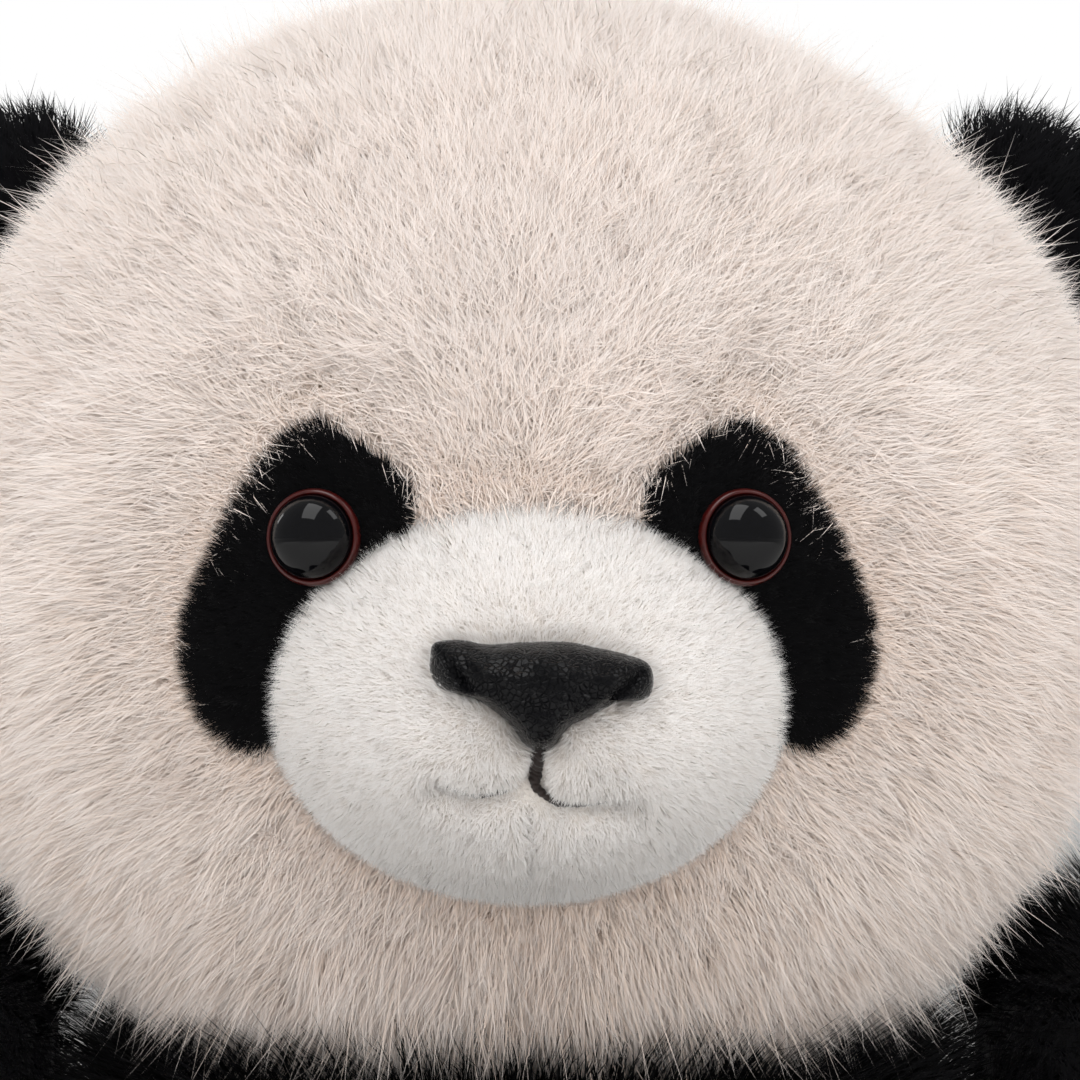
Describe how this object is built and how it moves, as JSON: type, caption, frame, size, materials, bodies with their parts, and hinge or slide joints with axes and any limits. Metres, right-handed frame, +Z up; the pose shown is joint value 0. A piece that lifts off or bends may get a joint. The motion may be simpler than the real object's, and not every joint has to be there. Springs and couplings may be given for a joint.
{
  "type": "plush panda",
  "caption": "Sitting stuffed plush panda: long-pile white head with black eye patches and ears, short-pile muzzle, safety eyes, sewn arms and legs.",
  "frame": {"origin": "on the floor, in the middle of the flat seat panel", "axes": "+Z up, the face and feet point along -Y, +X is the toy's own left"},
  "size_m": [0.213, 0.2003, 0.281],
  "materials": {
    "long_pile_white": "matte",
    "long_pile_black": "matte",
    "short_pile_white": "matte",
    "short_pile_black": "matte",
    "leatherette": "satin",
    "eye_plastic": "gloss",
    "rim_plastic": "gloss",
    "washer_plastic": "satin",
    "fibrefill": "matte",
    "bag_cloth": "matte",
    "thread": "matte",
    "label_ribbon": "satin"
  },
  "bodies": {
    "torso": {"torso_yoke": "long_pile_black", "torso_belly": "long_pile_white", "torso_back_left": "long_pile_white", "torso_back_right": "long_pile_white", "seat_panel": "long_pile_white", "torso_stuffing": "fibrefill", "pellet_bag": "bag_cloth", "tail": "long_pile_white", "sewn_label": "label_ribbon"},
    "head": {"head_gusset": "long_pile_white", "head_side_left": "long_pile_white", "head_side_right": "long_pile_white", "head_back_left": "long_pile_white", "head_back_right": "long_pile_white", "head_stuffing": "fibrefill", "muzzle_cover": "short_pile_white", "muzzle_stuffing": "fibrefill", "nose": "leatherette", "mouth_stem_thread": "thread", "mouth_thread_left": "thread", "mouth_thread_right": "thread", "eye_patch_left": "short_pile_black", "eye_rim_left": "rim_plastic", "eye_dome_left": "eye_plastic", "eye_washer_left": "washer_plastic", "eye_patch_right": "short_pile_black", "eye_rim_right": "rim_plastic", "eye_dome_right": "eye_plastic", "eye_washer_right": "washer_plastic"},
    "ear_left": {"ear_front_left": "long_pile_black", "ear_back_left": "long_pile_black"},
    "ear_right": {"ear_front_right": "long_pile_black", "ear_back_right": "long_pile_black"},
    "arm_left": {"arm_cover_left": "long_pile_black", "arm_stuffing_left": "fibrefill"},
    "arm_right": {"arm_cover_right": "long_pile_black", "arm_stuffing_right": "fibrefill"},
    "leg_left": {"leg_cover_left": "long_pile_black", "leg_stuffing_left": "fibrefill", "foot_sole_left": "long_pile_black"},
    "leg_right": {"leg_cover_right": "long_pile_black", "leg_stuffing_right": "fibrefill", "foot_sole_right": "long_pile_black"}
  },
  "joints": [
    {"name": "head_turn", "type": "hinge", "parent": "torso", "child": "head", "pos_m": [0, -0.006, 0.147], "axis": [0, 0, 1], "range_deg": [-30, 30], "stiffness_Nm_per_rad": 0.4},
    {"name": "ear_left_flex", "type": "hinge", "parent": "head", "child": "ear_left", "pos_m": [0.06829, -0.002, 0.25103], "axis": [0.515, 0, -0.8572], "range_deg": [-20, 20], "stiffness_Nm_per_rad": 0.02},
    {"name": "ear_right_flex", "type": "hinge", "parent": "head", "child": "ear_right", "pos_m": [-0.06829, -0.002, 0.25103], "axis": [0.515, 0, 0.8572], "range_deg": [-20, 20], "stiffness_Nm_per_rad": 0.02},
    {"name": "arm_left_swing", "type": "hinge", "parent": "torso", "child": "arm_left", "pos_m": [0.06215, 0, 0.141], "axis": [-1, 0, 0], "range_deg": [-25, 60], "stiffness_Nm_per_rad": 0.12},
    {"name": "arm_right_swing", "type": "hinge", "parent": "torso", "child": "arm_right", "pos_m": [-0.06215, 0, 0.141], "axis": [-1, 0, 0], "range_deg": [-25, 60], "stiffness_Nm_per_rad": 0.12},
    {"name": "leg_left_swing", "type": "hinge", "parent": "torso", "child": "leg_left", "pos_m": [0.033, -0.054, 0.027], "axis": [-1, 0, 0], "range_deg": [-45, 20], "stiffness_Nm_per_rad": 0.3},
    {"name": "leg_right_swing", "type": "hinge", "parent": "torso", "child": "leg_right", "pos_m": [-0.033, -0.054, 0.027], "axis": [-1, 0, 0], "range_deg": [-45, 20], "stiffness_Nm_per_rad": 0.3}
  ]
}
